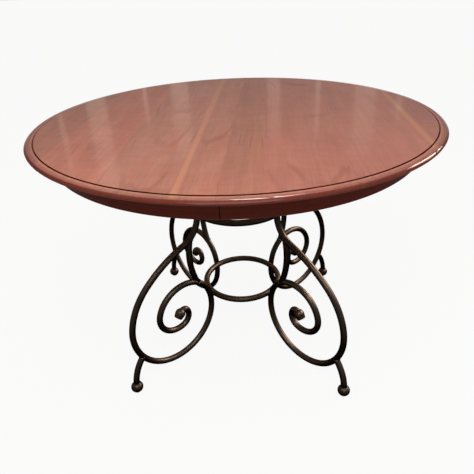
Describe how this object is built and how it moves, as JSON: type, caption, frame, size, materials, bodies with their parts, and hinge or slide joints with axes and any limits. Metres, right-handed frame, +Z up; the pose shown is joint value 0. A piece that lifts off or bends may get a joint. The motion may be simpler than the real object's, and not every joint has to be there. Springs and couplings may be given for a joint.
{
  "type": "extension kitchen table",
  "caption": "Round cherry extension table: two sliding top halves with a moulded rim and curved apron, on a wrought-iron base of scroll legs, rings and ball feet.",
  "frame": {"origin": "on the floor under the centre of the closed top", "axes": "+Z up, +Y along the seam between the halves, +X the way the right half slides"},
  "size_m": [1.1176, 1.1176, 0.762],
  "materials": {
    "cherry_top": "satin-gloss lacquer over reddish cherry stain",
    "cherry_apron": "satin lacquer over dark cherry stain",
    "maple": "bare planed hardwood",
    "iron": "dark bronze coat, satin, lightly hammered",
    "zinc_steel": "zinc plated",
    "zinc_screw": "zinc plated",
    "nylon_white": "moulded nylon",
    "nylon_black": "moulded nylon"
  },
  "bodies": {
    "base": {"ball_foot_back_left": "iron", "ball_foot_back_right": "iron", "ball_foot_front_left": "iron", "ball_foot_front_right": "iron", "bridge_screws": "zinc_screw", "centre_rail_back": "maple", "centre_rail_front": "maple", "cleat_left": "maple", "cleat_right": "maple", "floor_glides": "nylon_black", "foot_stem_back_left": "iron", "foot_stem_back_right": "iron", "foot_stem_front_left": "iron", "foot_stem_front_right": "iron", "leg_brace_back_left": "iron", "leg_brace_back_right": "iron", "leg_brace_front_left": "iron", "leg_brace_front_right": "iron", "leg_scroll_back_left": "iron", "leg_scroll_back_right": "iron", "leg_scroll_front_left": "iron", "leg_scroll_front_right": "iron", "mounting_plates": "iron", "pinion_bridge": "maple", "pinion_clip": "zinc_steel", "pinion_pivot": "zinc_steel", "plate_screws_long": "zinc_screw", "plate_screws_short": "zinc_screw", "stretcher_ring": "iron", "waist_ring": "iron"},
    "left_half": {"alignment_pins": "maple", "apron_left": "cherry_apron", "board_left_1": "cherry_top", "board_left_2": "cherry_top", "board_left_3": "cherry_top", "board_left_4": "cherry_top", "glue_blocks_left": "maple", "lock_plates": "zinc_steel", "rack_left": "zinc_steel", "rail_screws_left": "zinc_screw", "short_screws_left": "zinc_screw", "slide_rail_left_back": "maple", "slide_rail_left_front": "maple"},
    "right_half": {"apron_right": "cherry_apron", "board_right_1": "cherry_top", "board_right_2": "cherry_top", "board_right_3": "cherry_top", "board_right_4": "cherry_top", "glue_blocks_right": "maple", "lock_catches": "zinc_steel", "rack_right": "zinc_steel", "rail_screws_right": "zinc_screw", "short_screws_right": "zinc_screw", "slide_rail_right_back": "maple", "slide_rail_right_front": "maple"},
    "pinion": {"pinion": "nylon_white"},
    "lock_lever_front": {"lock_lever_front": "zinc_steel"},
    "lock_lever_back": {"lock_lever_back": "zinc_steel"}
  },
  "joints": [
    {"name": "left_slide", "type": "slide", "parent": "base", "child": "left_half", "axis": [-1, 0, 0], "range_m": [0, 0.232]},
    {"name": "right_slide", "type": "slide", "parent": "base", "child": "right_half", "axis": [1, 0, 0], "range_m": [0, 0.232]},
    {"name": "pinion_spin", "type": "hinge", "parent": "base", "child": "pinion", "pos_m": [0, 0, 0.7335], "axis": [0, 0, 1], "range_deg": [0, 832]},
    {"name": "front_lock_turn", "type": "hinge", "parent": "left_half", "child": "lock_lever_front", "pos_m": [-0.028, -0.3, 0.731], "axis": [0, 0, 1], "range_deg": [0, 90]},
    {"name": "back_lock_turn", "type": "hinge", "parent": "left_half", "child": "lock_lever_back", "pos_m": [-0.028, 0.3, 0.731], "axis": [0, 0, -1], "range_deg": [0, 90]}
  ],
  "couplings": [
    {"joint": "right_slide", "follows": "left_slide", "ratio": 1},
    {"joint": "pinion_spin", "follows": "left_slide", "rad_per_m": 62.5}
  ]
}
